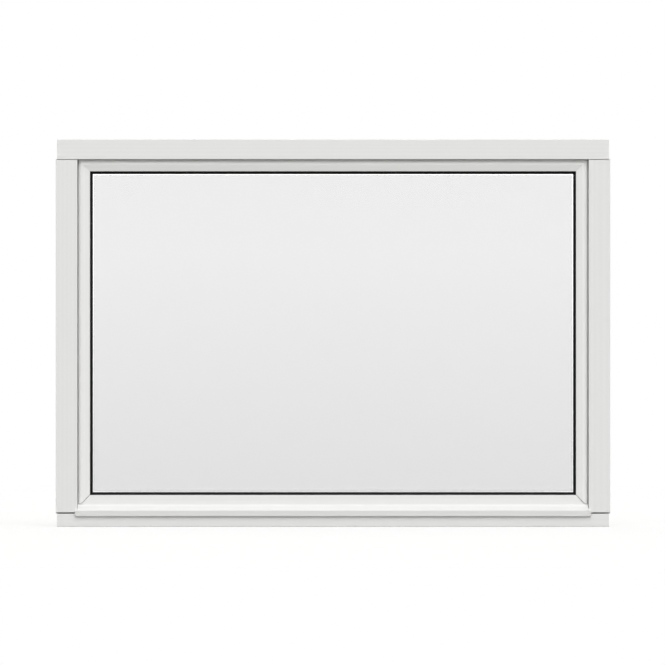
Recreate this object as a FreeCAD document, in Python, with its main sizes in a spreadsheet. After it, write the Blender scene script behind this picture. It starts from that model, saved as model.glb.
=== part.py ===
"""Fixed timber picture window, glazed straight into its frame.

Frame: X runs along the width, +Y from the weather side to the room, +Z up.
The origin is on the underside of the sill, at mid width and mid depth.
Depths in the expressions below are measured from the frame's weather face.
"""

import FreeCAD
import Part
import Sketcher

import math
import os

SIZES = [
    # overall
    ("width", 1188.0, "over the outer faces of the two jambs"),
    ("height", 830.0, "underside of the sill to the top of the head"),
    ("depth", 115.0, "weather face to room face of the frame"),
    # frame timbers
    ("jamb_face", 46.3, "width of a jamb's weather face"),
    ("head_face", 42.8, "height of the head's weather face, down to its drip lip"),
    ("head_lip", 1.3, "how far the drip lip hangs below the head's bead rebate"),
    ("lip_depth", 4.5, "thickness of the drip lip"),
    ("sill_face", 27.6, "height of the sill's weather face"),
    ("sill_rise", 0.6, "rise of the sill's weathered top, from its face to the bead seat"),
    ("end_setback", 2.8, "how far the head and sill ends stop short of the jamb faces"),
    ("edge_round", 1.2, "rounding of the frame's long edges"),
    ("head_groove", 1.1, "height of the shadow groove between jamb and head"),
    ("sill_groove", 2.9, "height of the shadow groove between jamb and sill, at its back"),
    ("groove_extra", 12.0, "how far both shadow grooves run in behind the drip lip"),
    ("lining_width", 12.0, "width of the groove that takes the lining boards"),
    ("lining_depth", 10.0, "depth of the lining groove"),
    ("lining_inset", 14.0, "room face to the near side of the lining groove"),
    ("fixing_bore", 8.0, "diameter of the frame screw holes"),
    ("fixing_inset", 150.0, "frame screw holes from the top and bottom of the frame"),
    # glazing rebate
    ("bead_seat", 24.0, "weather face to the shoulder that the beads sit on"),
    ("edge_cover", 9.0, "bead's inner edge to the glass edge behind it"),
    ("glass_gap", 3.5, "glass edge to the rebate floor"),
    ("stop_reach", 2.5, "how far the room side stop reaches past the bead's inner edge"),
    # timber beads
    ("bead_width", 26.7, "rebate face to the bead's inner edge"),
    ("bead_gap", 0.9, "gap between a bead and the frame beside it"),
    ("bead_recess", 6.0, "weather face of the frame to the bead's nearest corner"),
    ("bead_edge", 13.0, "weather face of the frame to the bead's inner edge"),
    ("bead_round", 11.0, "rounding of the bead's outer corner"),
    ("bead_arris", 0.8, "rounding of the bead's inner edge"),
    ("bead_foot", 14.0, "width of the bead that bears on its seat, from the rebate face"),
    ("bead_step", 3.0, "how far the rest of the bead stands off, for the gasket"),
    # weather gasket
    ("gasket_thick", 4.5, "bead's back to the glass"),
    ("gasket_hold", 8.0, "width of gasket behind the bead"),
    ("gasket_sight", 5.9, "width of gasket that shows beside the bead"),
    ("gasket_rise", 3.0, "how far the gasket climbs the bead's inner edge"),
    ("gasket_lip", 2.0, "thickness of the gasket's free lip"),
    # drip bead
    ("sill_sight", 67.7, "underside of the sill to the drip bead's top edge"),
    ("drip_wall", 2.0, "wall of the drip bead"),
    ("cove_depth", 12.6, "weather face to where the drip bead's upright face would meet its slope"),
    ("cove_height", 45.4, "underside of the sill to that meeting point"),
    ("cove_round", 5.0, "hollow rounding between the upright face and the slope"),
    ("nose_reach", 7.0, "how far the nose stands in front of the frame"),
    ("nose_height", 35.6, "underside of the sill to the top of the nose"),
    ("nose_foot", 22.6, "underside of the sill to the nose's lower edge"),
    ("nose_undercut", 1.5, "how far the nose's lower edge lies behind its top"),
    ("nose_round", 2.5, "rounding of the top of the nose"),
    ("drip_shoulder", 48.0, "height of the drip bead's shoulder under the feet of the jamb beads"),
    ("foot_gap", 0.9, "gap between a jamb bead's foot and the drip bead, straight up"),
    ("drip_gap", 0.7, "gap between the drip bead and the jambs"),
    ("cap_lap", 5.5, "how far an end cap laps over a jamb's face"),
    ("cap_chamfer", 2.5, "chamfer of an end cap's lower outer corner"),
    # sealed glass unit
    ("pane_thick", 4.0, "thickness of each pane"),
    ("cavity", 16.0, "gap between two panes"),
    ("spacer_sight", 2.8, "width of spacer that shows beside the weather gasket"),
    ("tape_thick", 3.0, "thickness of the room side glazing tape"),
    ("tape_sight", 1.0, "width of tape that shows beside the stop"),
    ("block_length", 100.0, "length of a setting block"),
    ("block_inset", 120.0, "glass edge to the near end of a setting block"),
]

# places that several pieces share, as expressions on the sheet
HALF = "(sizes.width / 2)"
FRAME_END = f"({HALF} - sizes.end_setback)"
JAMB_INNER = f"({HALF} - sizes.jamb_face)"
HEAD_LIP = "(sizes.height - sizes.head_face)"
HEAD_REBATE = f"({HEAD_LIP} + sizes.head_lip)"
SIGHT_X = f"({JAMB_INNER} - sizes.bead_width)"
SIGHT_TOP = f"({HEAD_REBATE} - sizes.bead_width)"
SIGHT_FOOT = "sizes.sill_sight"
GROOVE_BACK = "(sizes.lip_depth + sizes.groove_extra)"
LINING_BACK = "(sizes.depth - sizes.lining_inset)"
LINING_FRONT = f"({LINING_BACK} - sizes.lining_width)"
BEAD_BACK = "(sizes.bead_seat - sizes.bead_step)"
GLASS_FRONT = f"({BEAD_BACK} + sizes.gasket_thick)"
GLASS_THICK = "(3 * sizes.pane_thick + 2 * sizes.cavity)"
GLASS_BACK = f"({GLASS_FRONT} + {GLASS_THICK})"
STOP_FRONT = f"({GLASS_BACK} + sizes.tape_thick)"
REBATE = "(sizes.edge_cover + sizes.glass_gap)"
GASKET_OUTER = f"({SIGHT_X} + sizes.gasket_hold)"
GASKET_INNER = f"({SIGHT_X} - sizes.gasket_sight)"
SPACER_REACH = "(sizes.gasket_sight + sizes.spacer_sight)"
DRIP_END = f"({JAMB_INNER} - sizes.drip_gap)"
MITRE_FOOT = f"({SIGHT_X} + {SIGHT_FOOT} - sizes.drip_shoulder)"
CAP_END = f"({JAMB_INNER} + sizes.cap_lap)"
DRIP_SLOPE = "((sizes.cove_height - sizes.nose_height) / (sizes.cove_depth + sizes.nose_reach))"
BEYOND = "sizes.width"

doc = FreeCAD.newDocument("picture_window")


def make_sheet():
    """Writes the driving sizes to the sheet, one named cell a row."""
    sheet = doc.addObject("Spreadsheet::Sheet", "sizes")
    for row, (alias, value, meaning) in enumerate(SIZES, start=1):
        sheet.set(f"A{row}", meaning)
        sheet.set(f"B{row}", str(value))
        sheet.setAlias(f"B{row}", alias)
    doc.recompute()
    return sheet


def deep(expression):
    """Y of a depth that is measured from the frame's weather face."""
    return f"({expression} - sizes.depth / 2)"


def mirrored(side, expression):
    """X of a distance from the middle. Side is -1 at the left, seen from the weather side, and 1 at the right."""
    return f"({side} * {expression})"


def evaluate(expression):
    return float(sizes.evalExpression(expression))


def at_depths(corners):
    """Turns (depth, height, rounding) corners into the (Y, Z, rounding) of a sketch on the YZ plane."""
    return [(deep(depth), height, rounding) for depth, height, rounding in corners]


# sketches and solids


def new_body(label):
    body = doc.addObject("PartDesign::Body", label)
    body.Label = label
    return body


def new_sketch(body, name, plane_role):
    plane = next(f for f in body.Origin.OriginFeatures if f.Role == plane_role)
    sketch = body.newObject("Sketcher::SketchObject", f"{body.Name}_{name}")
    sketch.AttachmentSupport = [(plane, "")]
    sketch.MapMode = "FlatFace"
    return sketch


def bind(sketch, constraint, name, expression):
    sketch.renameConstraint(sketch.addConstraint(constraint), name)
    sketch.setExpression(f"Constraints.{name}", expression)


def pin_point(sketch, geometry, position, name, across, up):
    """Holds a point of the sketch at two expressions, counted from the sketch's origin."""
    for kind, suffix, expression in (("DistanceX", "across", across), ("DistanceY", "up", up)):
        constraint = Sketcher.Constraint(kind, -1, 1, geometry, position, evaluate(expression))
        bind(sketch, constraint, f"{name}_{suffix}", expression)


def draw_outline(sketch, corners, prefix="corner"):
    """Draws a closed outline through (across, up, rounding) corners.

    The rounding is None at a sharp corner.
    """
    points = [FreeCAD.Vector(evaluate(across), evaluate(up), 0) for across, up, _ in corners]
    count = len(corners)
    starts, ends, arcs = list(points), list(points), {}
    for i, (_, _, rounding) in enumerate(corners):
        if rounding is None:
            continue
        radius = evaluate(rounding)
        to_last = (points[i - 1] - points[i]).normalize()
        to_next = (points[(i + 1) % count] - points[i]).normalize()
        half_angle = to_last.getAngle(to_next) / 2
        setback = radius / math.tan(half_angle)
        ends[i] = points[i] + to_last * setback
        starts[i] = points[i] + to_next * setback
        centre = points[i] + (to_last + to_next).normalize() * (radius / math.sin(half_angle))
        left_turn = (points[i] - points[i - 1]).cross(to_next).z > 0
        arcs[i] = (centre, radius, left_turn)
    lines = [
        sketch.addGeometry(Part.LineSegment(starts[i], ends[(i + 1) % count]))
        for i in range(count)
    ]
    for i, (across, up, rounding) in enumerate(corners):
        before, after = lines[i - 1], lines[i]
        name = f"{prefix}_{i}"
        if i not in arcs:
            sketch.addConstraint(Sketcher.Constraint("Coincident", before, 2, after, 1))
            pin_point(sketch, after, 1, name, across, up)
            continue
        centre, radius, left_turn = arcs[i]
        first, last = (ends[i], starts[i]) if left_turn else (starts[i], ends[i])
        angles = [math.atan2(p.y - centre.y, p.x - centre.x) for p in (first, last)]
        circle = Part.Circle(centre, FreeCAD.Vector(0, 0, 1), radius)
        arc = sketch.addGeometry(Part.ArcOfCircle(circle, *angles))
        into, out_of = (1, 2) if left_turn else (2, 1)
        sketch.addConstraint(Sketcher.Constraint("Tangent", before, 2, arc, into))
        sketch.addConstraint(Sketcher.Constraint("Tangent", arc, out_of, after, 1))
        bind(sketch, Sketcher.Constraint("Radius", arc, radius), f"{name}_round", rounding)
        apex = sketch.addGeometry(Part.Point(points[i]), True)
        pin_point(sketch, apex, 1, name, across, up)
        sketch.addConstraint(Sketcher.Constraint("PointOnObject", apex, 1, before))
        sketch.addConstraint(Sketcher.Constraint("PointOnObject", apex, 1, after))


def pad_along_x(body, corners, length):
    """Extrudes a (Y, Z, rounding) outline to both sides of the middle plane."""
    sketch = new_sketch(body, "section", "YZ_Plane")
    draw_outline(sketch, corners)
    pad = body.newObject("PartDesign::Pad", f"{body.Name}_pad")
    pad.Profile = sketch
    pad.SideType = "Symmetric"
    pad.setExpression("Length", length)
    doc.recompute()


def pad_from_x(body, corners, start, length):
    """Extrudes a (Y, Z, rounding) outline along +X from a start plane."""
    sketch = new_sketch(body, "section", "YZ_Plane")
    sketch.setExpression("AttachmentOffset.Base.z", start)
    draw_outline(sketch, corners)
    pad = body.newObject("PartDesign::Pad", f"{body.Name}_pad")
    pad.Profile = sketch
    pad.setExpression("Length", length)
    doc.recompute()


def pad_up_z(body, corners, foot, top):
    """Extrudes an (X, Y, rounding) outline upwards between two heights."""
    sketch = new_sketch(body, "section", "XY_Plane")
    sketch.setExpression("AttachmentOffset.Base.z", foot)
    draw_outline(sketch, corners)
    pad = body.newObject("PartDesign::Pad", f"{body.Name}_pad")
    pad.Profile = sketch
    pad.setExpression("Length", f"{top} - {foot}")
    doc.recompute()


def cut_through(body, name, plane_role, outlines):
    """Cuts closed outlines right through the body, both ways from an origin plane."""
    before = body.Shape.Volume
    sketch = new_sketch(body, name, plane_role)
    for number, corners in enumerate(outlines):
        draw_outline(sketch, corners, f"{name}_{number}")
    finish_cut(body, name, sketch, before)


def bore_along_x(body, name, centres, diameter):
    """Bores round holes along X at (Y, Z) centres."""
    before = body.Shape.Volume
    sketch = new_sketch(body, name, "YZ_Plane")
    normal = FreeCAD.Vector(0, 0, 1)
    for number, (across, up) in enumerate(centres):
        middle = FreeCAD.Vector(evaluate(across), evaluate(up), 0)
        ring = sketch.addGeometry(Part.Circle(middle, normal, evaluate(diameter) / 2))
        pin_point(sketch, ring, 3, f"{name}_{number}", across, up)
        constraint = Sketcher.Constraint("Diameter", ring, evaluate(diameter))
        bind(sketch, constraint, f"{name}_{number}_bore", diameter)
    finish_cut(body, name, sketch, before)


def finish_cut(body, name, sketch, volume_before):
    pocket = body.newObject("PartDesign::Pocket", f"{body.Name}_{name}_cut")
    pocket.Profile = sketch
    pocket.Type = "ThroughAll"
    pocket.SideType = "Symmetric"
    doc.recompute()
    if not body.Shape.Volume < volume_before:
        raise RuntimeError(f"{name} cuts nothing from {body.Label}")


def make_box(label, low, high):
    """A plain block between two (X, Y, Z) corners, each an expression."""
    block = doc.addObject("Part::Box", label)
    block.Label = label
    for size, axis, first, last in zip(("Length", "Width", "Height"), "xyz", low, high):
        block.setExpression(size, f"{last} - {first}")
        block.setExpression(f"Placement.Base.{axis}", first)
    return block


# frame timbers


def head_underside():
    """The head's underside as (depth, height) corners, from the weather face to the room face."""
    return [
        ("0", HEAD_LIP),
        ("sizes.lip_depth", HEAD_LIP),
        ("sizes.lip_depth", HEAD_REBATE),
        ("sizes.bead_seat", HEAD_REBATE),
        ("sizes.bead_seat", f"({SIGHT_TOP} + {REBATE})"),
        (STOP_FRONT, f"({SIGHT_TOP} + {REBATE})"),
        (STOP_FRONT, f"({SIGHT_TOP} - sizes.stop_reach)"),
        ("sizes.depth", f"({SIGHT_TOP} - sizes.stop_reach)"),
    ]


def sill_top():
    """The sill's top as (depth, height) corners, from the weather face to the room face."""
    return [
        ("0", "sizes.sill_face"),
        ("sizes.bead_seat", sill_slope("sizes.bead_seat")),
        ("sizes.bead_seat", f"({SIGHT_FOOT} - {REBATE})"),
        (STOP_FRONT, f"({SIGHT_FOOT} - {REBATE})"),
        (STOP_FRONT, f"({SIGHT_FOOT} + sizes.stop_reach)"),
        ("sizes.depth", f"({SIGHT_FOOT} + sizes.stop_reach)"),
    ]


def sill_slope(depth):
    """Height of the sill's weathered top at a depth."""
    return f"(sizes.sill_face + sizes.sill_rise * {depth} / sizes.bead_seat)"


def round_ends(profile):
    """Adds the frame's rounding to the first and last corners of a profile."""
    last = len(profile) - 1
    return [(a, b, "sizes.edge_round" if i in (0, last) else None) for i, (a, b) in enumerate(profile)]


def make_head():
    body = new_body("head")
    top = "sizes.height"
    groove = f"({top} - sizes.lining_depth)"
    corners = round_ends(head_underside()) + [
        ("sizes.depth", top, "sizes.edge_round"),
        (LINING_BACK, top, None),
        (LINING_BACK, groove, None),
        (LINING_FRONT, groove, None),
        (LINING_FRONT, top, None),
        ("0", top, "sizes.edge_round"),
    ]
    pad_along_x(body, at_depths(corners), f"2 * {FRAME_END}")
    return body


def make_sill():
    body = new_body("sill")
    corners = round_ends(sill_top()) + [
        ("sizes.depth", "0", "sizes.edge_round"),
        (LINING_BACK, "0", None),
        (LINING_BACK, "sizes.lining_depth", None),
        (LINING_FRONT, "sizes.lining_depth", None),
        (LINING_FRONT, "0", None),
        ("0", "0", "sizes.edge_round"),
    ]
    pad_along_x(body, at_depths(corners), f"2 * {FRAME_END}")
    return body


def head_cope():
    """What is cut from a jamb's top end, so that it fits under the head with a shadow groove in front."""
    groove, sky = f"({HEAD_LIP} - sizes.head_groove)", f"({BEYOND} + sizes.height)"
    profile = head_underside()
    outline = [(f"(-{BEYOND})", groove), (GROOVE_BACK, groove), (GROOVE_BACK, HEAD_REBATE)]
    outline += profile[3:-1]
    outline += [(BEYOND, profile[-1][1]), (BEYOND, sky), (f"(-{BEYOND})", sky)]
    return [(depth, height, None) for depth, height in outline]


def sill_cope():
    """What is cut from a jamb's bottom end, so that it stands on the sill with a shadow groove in front."""
    seat, ground = sill_slope(GROOVE_BACK), f"(-{BEYOND})"
    groove = f"({seat} + sizes.sill_groove)"
    profile = sill_top()
    outline = [(f"(-{BEYOND})", groove), (GROOVE_BACK, groove), (GROOVE_BACK, seat)]
    outline += profile[1:-1]
    outline += [(BEYOND, profile[-1][1]), (BEYOND, ground), (f"(-{BEYOND})", ground)]
    return [(depth, height, None) for depth, height in outline]


def make_jamb(label, side):
    """A jamb, standing between sill and head."""
    body = new_body(label)
    outer, groove = HALF, f"({HALF} - sizes.lining_depth)"
    floor = f"({SIGHT_X} + {REBATE})"
    stop = f"({SIGHT_X} - sizes.stop_reach)"
    profile = [
        (outer, "0", "sizes.edge_round"),
        (outer, LINING_FRONT, None),
        (groove, LINING_FRONT, None),
        (groove, LINING_BACK, None),
        (outer, LINING_BACK, None),
        (outer, "sizes.depth", "sizes.edge_round"),
        (stop, "sizes.depth", "sizes.edge_round"),
        (stop, STOP_FRONT, None),
        (floor, STOP_FRONT, None),
        (floor, "sizes.bead_seat", None),
        (JAMB_INNER, "sizes.bead_seat", None),
        (JAMB_INNER, "0", "sizes.edge_round"),
    ]
    corners = [(mirrored(side, across), deep(depth), rounding) for across, depth, rounding in profile]
    pad_up_z(body, corners, "0", "sizes.height")
    cut_through(body, "head_cope", "YZ_Plane", [at_depths(head_cope())])
    cut_through(body, "sill_cope", "YZ_Plane", [at_depths(sill_cope())])
    middle = deep(f"({GLASS_FRONT} + {GLASS_THICK} / 2)")
    heights = ["sizes.fixing_inset", "(sizes.height - sizes.fixing_inset)"]
    bore_along_x(body, "fixing", [(middle, height) for height in heights], "sizes.fixing_bore")
    return body


# glazing beads


def bead_section():
    """A timber bead's section as (distance from the rebate face, depth, rounding) corners."""
    return [
        ("sizes.bead_gap", "sizes.bead_recess", "sizes.bead_round"),
        ("sizes.bead_gap", "sizes.bead_seat", None),
        ("sizes.bead_foot", "sizes.bead_seat", None),
        ("sizes.bead_foot", BEAD_BACK, None),
        ("sizes.bead_width", BEAD_BACK, None),
        ("sizes.bead_width", "sizes.bead_edge", "sizes.bead_arris"),
    ]


def make_head_bead():
    body = new_body("head_bead")
    corners = [(deep(depth), f"({HEAD_REBATE} - {across})", r) for across, depth, r in bead_section()]
    pad_along_x(body, corners, f"2 * ({JAMB_INNER} - sizes.bead_gap)")
    ends = []
    for side in (-1, 1):
        inner, outer = mirrored(side, SIGHT_X), mirrored(side, JAMB_INNER)
        ends.append([(inner, SIGHT_TOP, None), (outer, HEAD_REBATE, None), (outer, SIGHT_TOP, None)])
    cut_through(body, "mitre", "XZ_Plane", ends)
    return body


def make_jamb_bead(label, side):
    body = new_body(label)
    corners = []
    for across, depth, rounding in bead_section():
        corners.append((mirrored(side, f"({JAMB_INNER} - {across})"), deep(depth), rounding))
    inner, outer = mirrored(side, SIGHT_X), mirrored(side, JAMB_INNER)
    foot, tip = "(sizes.drip_shoulder + sizes.foot_gap)", f"({SIGHT_FOOT} + sizes.foot_gap)"
    pad_up_z(body, corners, foot, f"({HEAD_REBATE} - sizes.bead_gap)")
    ends = [
        [(inner, SIGHT_TOP, None), (outer, HEAD_REBATE, None), (inner, HEAD_REBATE, None)],
        [(inner, tip, None), (mirrored(side, MITRE_FOOT), foot, None), (inner, foot, None)],
    ]
    cut_through(body, "mitre", "XZ_Plane", ends)
    return body


def nose_outline():
    """The drip bead's weather surface as (depth, height, rounding) corners, from its top edge down."""
    return [
        ("sizes.bead_edge", SIGHT_FOOT, None),
        ("sizes.cove_depth", "sizes.cove_height", "sizes.cove_round"),
        ("(-sizes.nose_reach)", "sizes.nose_height", "sizes.nose_round"),
        ("(sizes.nose_undercut - sizes.nose_reach)", "sizes.nose_foot", None),
    ]


def make_drip_bead():
    """The aluminium bead over the sill: a hollow-curved skin with a nose in front and a leg behind."""
    body = new_body("drip_bead")
    wall = "sizes.drip_wall"
    leg_front = f"({BEAD_BACK} - {wall})"
    under = f"({wall} * (sqrt(1 + {DRIP_SLOPE} ^ 2) - {DRIP_SLOPE}))"
    inner_round = f"(sizes.cove_round + {wall})"
    inside = [
        (f"(sizes.nose_undercut - sizes.nose_reach + {wall})", "sizes.nose_foot", None),
        (f"({wall} - sizes.nose_reach)", f"(sizes.nose_height - {under})", None),
        (f"(sizes.cove_depth + {wall})", f"(sizes.cove_height - {under})", inner_round),
        (f"(sizes.bead_edge + {wall})", f"({SIGHT_FOOT} - {wall})", None),
        (leg_front, f"({SIGHT_FOOT} - {wall})", None),
        (leg_front, sill_slope(leg_front), None),
        (BEAD_BACK, sill_slope(BEAD_BACK), None),
        (BEAD_BACK, SIGHT_FOOT, None),
    ]
    pad_along_x(body, at_depths(nose_outline() + inside), f"2 * {DRIP_END}")
    ends = []
    for side in (-1, 1):
        outer = mirrored(side, JAMB_INNER)
        ends.append([
            (mirrored(side, SIGHT_X), SIGHT_FOOT, None),
            (mirrored(side, MITRE_FOOT), "sizes.drip_shoulder", None),
            (outer, "sizes.drip_shoulder", None),
            (outer, SIGHT_FOOT, None),
        ])
    cut_through(body, "mitre", "XZ_Plane", ends)
    return body


def make_end_cap(label, side):
    """A moulded cap that closes the nose's end and laps over the jamb's face."""
    body = new_body(label)
    back = [("sizes.bead_edge", "sizes.nose_foot", None)]
    start = DRIP_END if side > 0 else f"(-{CAP_END})"
    pad_from_x(body, at_depths(nose_outline() + back), start, f"{CAP_END} - {DRIP_END}")
    behind = [("0", f"(-{BEYOND})"), (BEYOND, f"(-{BEYOND})"), (BEYOND, BEYOND), ("0", BEYOND)]
    cut_through(body, "frame_face", "YZ_Plane", [at_depths([(d, z, None) for d, z in behind])])
    outer = mirrored(side, CAP_END)
    shoulder = [
        (mirrored(side, JAMB_INNER), "sizes.drip_shoulder", None),
        (outer, "sizes.nose_height", None),
        (outer, "sizes.drip_shoulder", None),
    ]
    lower = [
        (mirrored(side, f"({CAP_END} - sizes.cap_chamfer)"), "sizes.nose_foot", None),
        (outer, "(sizes.nose_foot + sizes.cap_chamfer)", None),
        (outer, "sizes.nose_foot", None),
    ]
    cut_through(body, "corner", "XZ_Plane", [shoulder, lower])
    return body


# weather gaskets


def gasket_section():
    """A gasket's section as (distance inwards from the bead's inner edge, depth, rounding) corners."""
    lip = f"({GLASS_FRONT} - sizes.gasket_lip)"
    return [
        ("(-sizes.gasket_hold)", BEAD_BACK, None),
        ("(-sizes.gasket_hold)", GLASS_FRONT, None),
        ("sizes.gasket_sight", GLASS_FRONT, None),
        ("sizes.gasket_sight", lip, None),
        ("0", f"({BEAD_BACK} - sizes.gasket_rise)", None),
        ("0", BEAD_BACK, None),
    ]


def make_level_gasket(label, edge, inward):
    """The gasket along the top or bottom of the glass. Inward is -1 at the top and 1 at the bottom."""
    body = new_body(label)
    corners = [(deep(depth), f"({edge} + {inward} * {across})", r) for across, depth, r in gasket_section()]
    pad_along_x(body, corners, f"2 * {GASKET_OUTER}")
    outer_z = f"({edge} - {inward} * sizes.gasket_hold)"
    inner_z = f"({edge} + {inward} * sizes.gasket_sight)"
    ends = []
    for side in (-1, 1):
        outer, inner = mirrored(side, GASKET_OUTER), mirrored(side, GASKET_INNER)
        ends.append([(inner, inner_z, None), (outer, outer_z, None), (outer, inner_z, None)])
    cut_through(body, "mitre", "XZ_Plane", ends)
    return body


def make_upright_gasket(label, side):
    body = new_body(label)
    corners = []
    for across, depth, rounding in gasket_section():
        corners.append((mirrored(side, f"({SIGHT_X} - {across})"), deep(depth), rounding))
    foot, inner_foot = f"({SIGHT_FOOT} - sizes.gasket_hold)", f"({SIGHT_FOOT} + sizes.gasket_sight)"
    top, inner_top = f"({SIGHT_TOP} + sizes.gasket_hold)", f"({SIGHT_TOP} - sizes.gasket_sight)"
    pad_up_z(body, corners, foot, top)
    outer, inner = mirrored(side, GASKET_OUTER), mirrored(side, GASKET_INNER)
    ends = [
        [(inner, inner_top, None), (outer, top, None), (inner, top, None)],
        [(inner, inner_foot, None), (outer, foot, None), (inner, foot, None)],
    ]
    cut_through(body, "mitre", "XZ_Plane", ends)
    return body


# sealed glass unit and what it sits on


def make_ring(prefix, front, back, outer_reach, inner_reach):
    """Four strips round the glass between two depths. Reaches count inwards from the bead's inner edge."""
    near, far = deep(front), deep(back)
    outer_x, inner_x = f"({SIGHT_X} - {outer_reach})", f"({SIGHT_X} - {inner_reach})"
    outer_top, inner_top = f"({SIGHT_TOP} - {outer_reach})", f"({SIGHT_TOP} - {inner_reach})"
    outer_foot, inner_foot = f"({SIGHT_FOOT} + {outer_reach})", f"({SIGHT_FOOT} + {inner_reach})"
    return [
        make_box(f"{prefix}_top", (f"(-{outer_x})", near, inner_top), (outer_x, far, outer_top)),
        make_box(f"{prefix}_bottom", (f"(-{outer_x})", near, outer_foot), (outer_x, far, inner_foot)),
        make_box(f"{prefix}_left", (f"(-{outer_x})", near, inner_foot), (f"(-{inner_x})", far, inner_top)),
        make_box(f"{prefix}_right", (inner_x, near, inner_foot), (outer_x, far, inner_top)),
    ]


def pane_front(number):
    return f"({GLASS_FRONT} + {number} * (sizes.pane_thick + sizes.cavity))"


def make_glass_unit():
    edge_x = f"({SIGHT_X} + sizes.edge_cover)"
    foot, top = f"({SIGHT_FOOT} - sizes.edge_cover)", f"({SIGHT_TOP} + sizes.edge_cover)"
    pieces = []
    for number, label in enumerate(("outer_pane", "middle_pane", "inner_pane")):
        front = pane_front(number)
        low = (f"(-{edge_x})", deep(front), foot)
        high = (edge_x, deep(f"({front} + sizes.pane_thick)"), top)
        pieces.append(make_box(label, low, high))
    for number, prefix in enumerate(("outer_spacer", "inner_spacer")):
        front = f"({pane_front(number)} + sizes.pane_thick)"
        pieces += make_ring(prefix, front, pane_front(number + 1), "(-sizes.edge_cover)", SPACER_REACH)
    return pieces


def make_glazing_tape():
    reach = "(sizes.stop_reach + sizes.tape_sight)"
    return make_ring("inner_tape", GLASS_BACK, STOP_FRONT, "(-sizes.edge_cover)", reach)


def make_setting_block(label, side):
    edge_x = f"({SIGHT_X} + sizes.edge_cover)"
    outer = f"({edge_x} - sizes.block_inset)"
    inner = f"({outer} - sizes.block_length)"
    first, last = (inner, outer) if side > 0 else (f"(-{outer})", f"(-{inner})")
    floor = f"({SIGHT_FOOT} - {REBATE})"
    foot = f"({SIGHT_FOOT} - sizes.edge_cover)"
    return make_box(label, (first, deep(GLASS_FRONT), floor), (last, deep(GLASS_BACK), foot))


def make_window():
    """Every piece of the window, in the order that a maker would put it together."""
    pieces = [make_sill(), make_jamb("left_jamb", -1), make_jamb("right_jamb", 1), make_head()]
    pieces += make_glazing_tape()
    pieces += [make_setting_block("left_setting_block", -1), make_setting_block("right_setting_block", 1)]
    pieces += make_glass_unit()
    pieces += [
        make_level_gasket("weather_gasket_top", SIGHT_TOP, -1),
        make_level_gasket("weather_gasket_bottom", SIGHT_FOOT, 1),
        make_upright_gasket("weather_gasket_left", -1),
        make_upright_gasket("weather_gasket_right", 1),
    ]
    pieces += [make_head_bead(), make_jamb_bead("left_bead", -1), make_jamb_bead("right_bead", 1)]
    pieces += [make_drip_bead(), make_end_cap("left_end_cap", -1), make_end_cap("right_end_cap", 1)]
    return pieces


def check(pieces):
    """Stops if any object of the document failed, or a piece isn't one sound solid."""
    failed = [o.Label for o in doc.Objects if {"Invalid", "Error"} & set(o.State)]
    if failed:
        raise RuntimeError(f"failed to rebuild: {failed}")
    for piece in pieces:
        shape = piece.Shape
        if shape.isNull() or not shape.isValid() or len(shape.Solids) != 1:
            raise RuntimeError(f"{piece.Label} isn't one sound solid")


sizes = make_sheet()
window = make_window()
doc.recompute()
check(window)
os.makedirs("parts", exist_ok=True)
for part in window:
    part.Shape.exportStep(f"parts/{part.Label}.step")
    print(f"{part.Label:24s} {part.Shape.Volume / 1000:9.1f} cm3")
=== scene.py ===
"""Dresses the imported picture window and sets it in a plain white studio.

Size fields are in millimetres unless their name says otherwise. Meshes are in metres, in the frame's
own axes: +X to the right seen from the weather side, +Y from the weather side to the room, +Z up.
"""

import logging
import math
from dataclasses import dataclass
from enum import Enum
from typing import Iterable

import bmesh
import bpy
from mathutils import Matrix, Vector

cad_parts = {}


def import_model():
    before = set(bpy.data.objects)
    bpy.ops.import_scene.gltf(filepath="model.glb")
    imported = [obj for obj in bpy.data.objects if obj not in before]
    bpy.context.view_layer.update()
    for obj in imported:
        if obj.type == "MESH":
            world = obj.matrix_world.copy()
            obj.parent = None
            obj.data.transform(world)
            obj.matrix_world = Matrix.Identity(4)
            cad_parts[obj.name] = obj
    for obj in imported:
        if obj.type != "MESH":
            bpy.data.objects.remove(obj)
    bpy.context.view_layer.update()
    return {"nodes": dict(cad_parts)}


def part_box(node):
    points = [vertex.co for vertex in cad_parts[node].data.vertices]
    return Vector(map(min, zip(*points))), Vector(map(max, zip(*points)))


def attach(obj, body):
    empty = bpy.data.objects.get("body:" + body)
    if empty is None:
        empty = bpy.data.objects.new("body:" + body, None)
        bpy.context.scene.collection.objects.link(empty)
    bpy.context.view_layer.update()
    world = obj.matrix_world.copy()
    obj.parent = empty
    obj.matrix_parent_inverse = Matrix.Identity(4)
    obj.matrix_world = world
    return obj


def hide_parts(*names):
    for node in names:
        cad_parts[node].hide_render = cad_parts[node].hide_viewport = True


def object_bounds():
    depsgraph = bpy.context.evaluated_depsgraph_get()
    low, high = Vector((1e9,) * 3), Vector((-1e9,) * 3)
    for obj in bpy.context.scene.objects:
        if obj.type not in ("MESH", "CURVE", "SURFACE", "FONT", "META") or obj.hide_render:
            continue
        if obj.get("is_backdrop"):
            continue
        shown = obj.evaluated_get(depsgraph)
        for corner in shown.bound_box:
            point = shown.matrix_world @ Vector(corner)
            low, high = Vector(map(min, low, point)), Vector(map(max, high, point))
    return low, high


LOG = logging.getLogger("picture_window")
MM = 0.001
BODY = "root"
# An arc turns by this much at most between points, and an edge that turns by more than SHARP is an arris.
ARC_STEP = math.radians(12)
SHARP = math.radians(35)
# Faces that meet at less than this angle are one flat face, and points closer than this are one point.
FLAT = math.radians(0.5)
SAME_POINT = 0.001
# Facets across an eased edge.
EASING_STEPS = 3
# A Wave node repeats each time its distance, times 20, turns by a full circle.
WAVE_LENGTH = 2 * math.pi / 20
# Between no bounce and the first, to tell them apart.
FIRST_BOUNCE = 0.5
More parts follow.
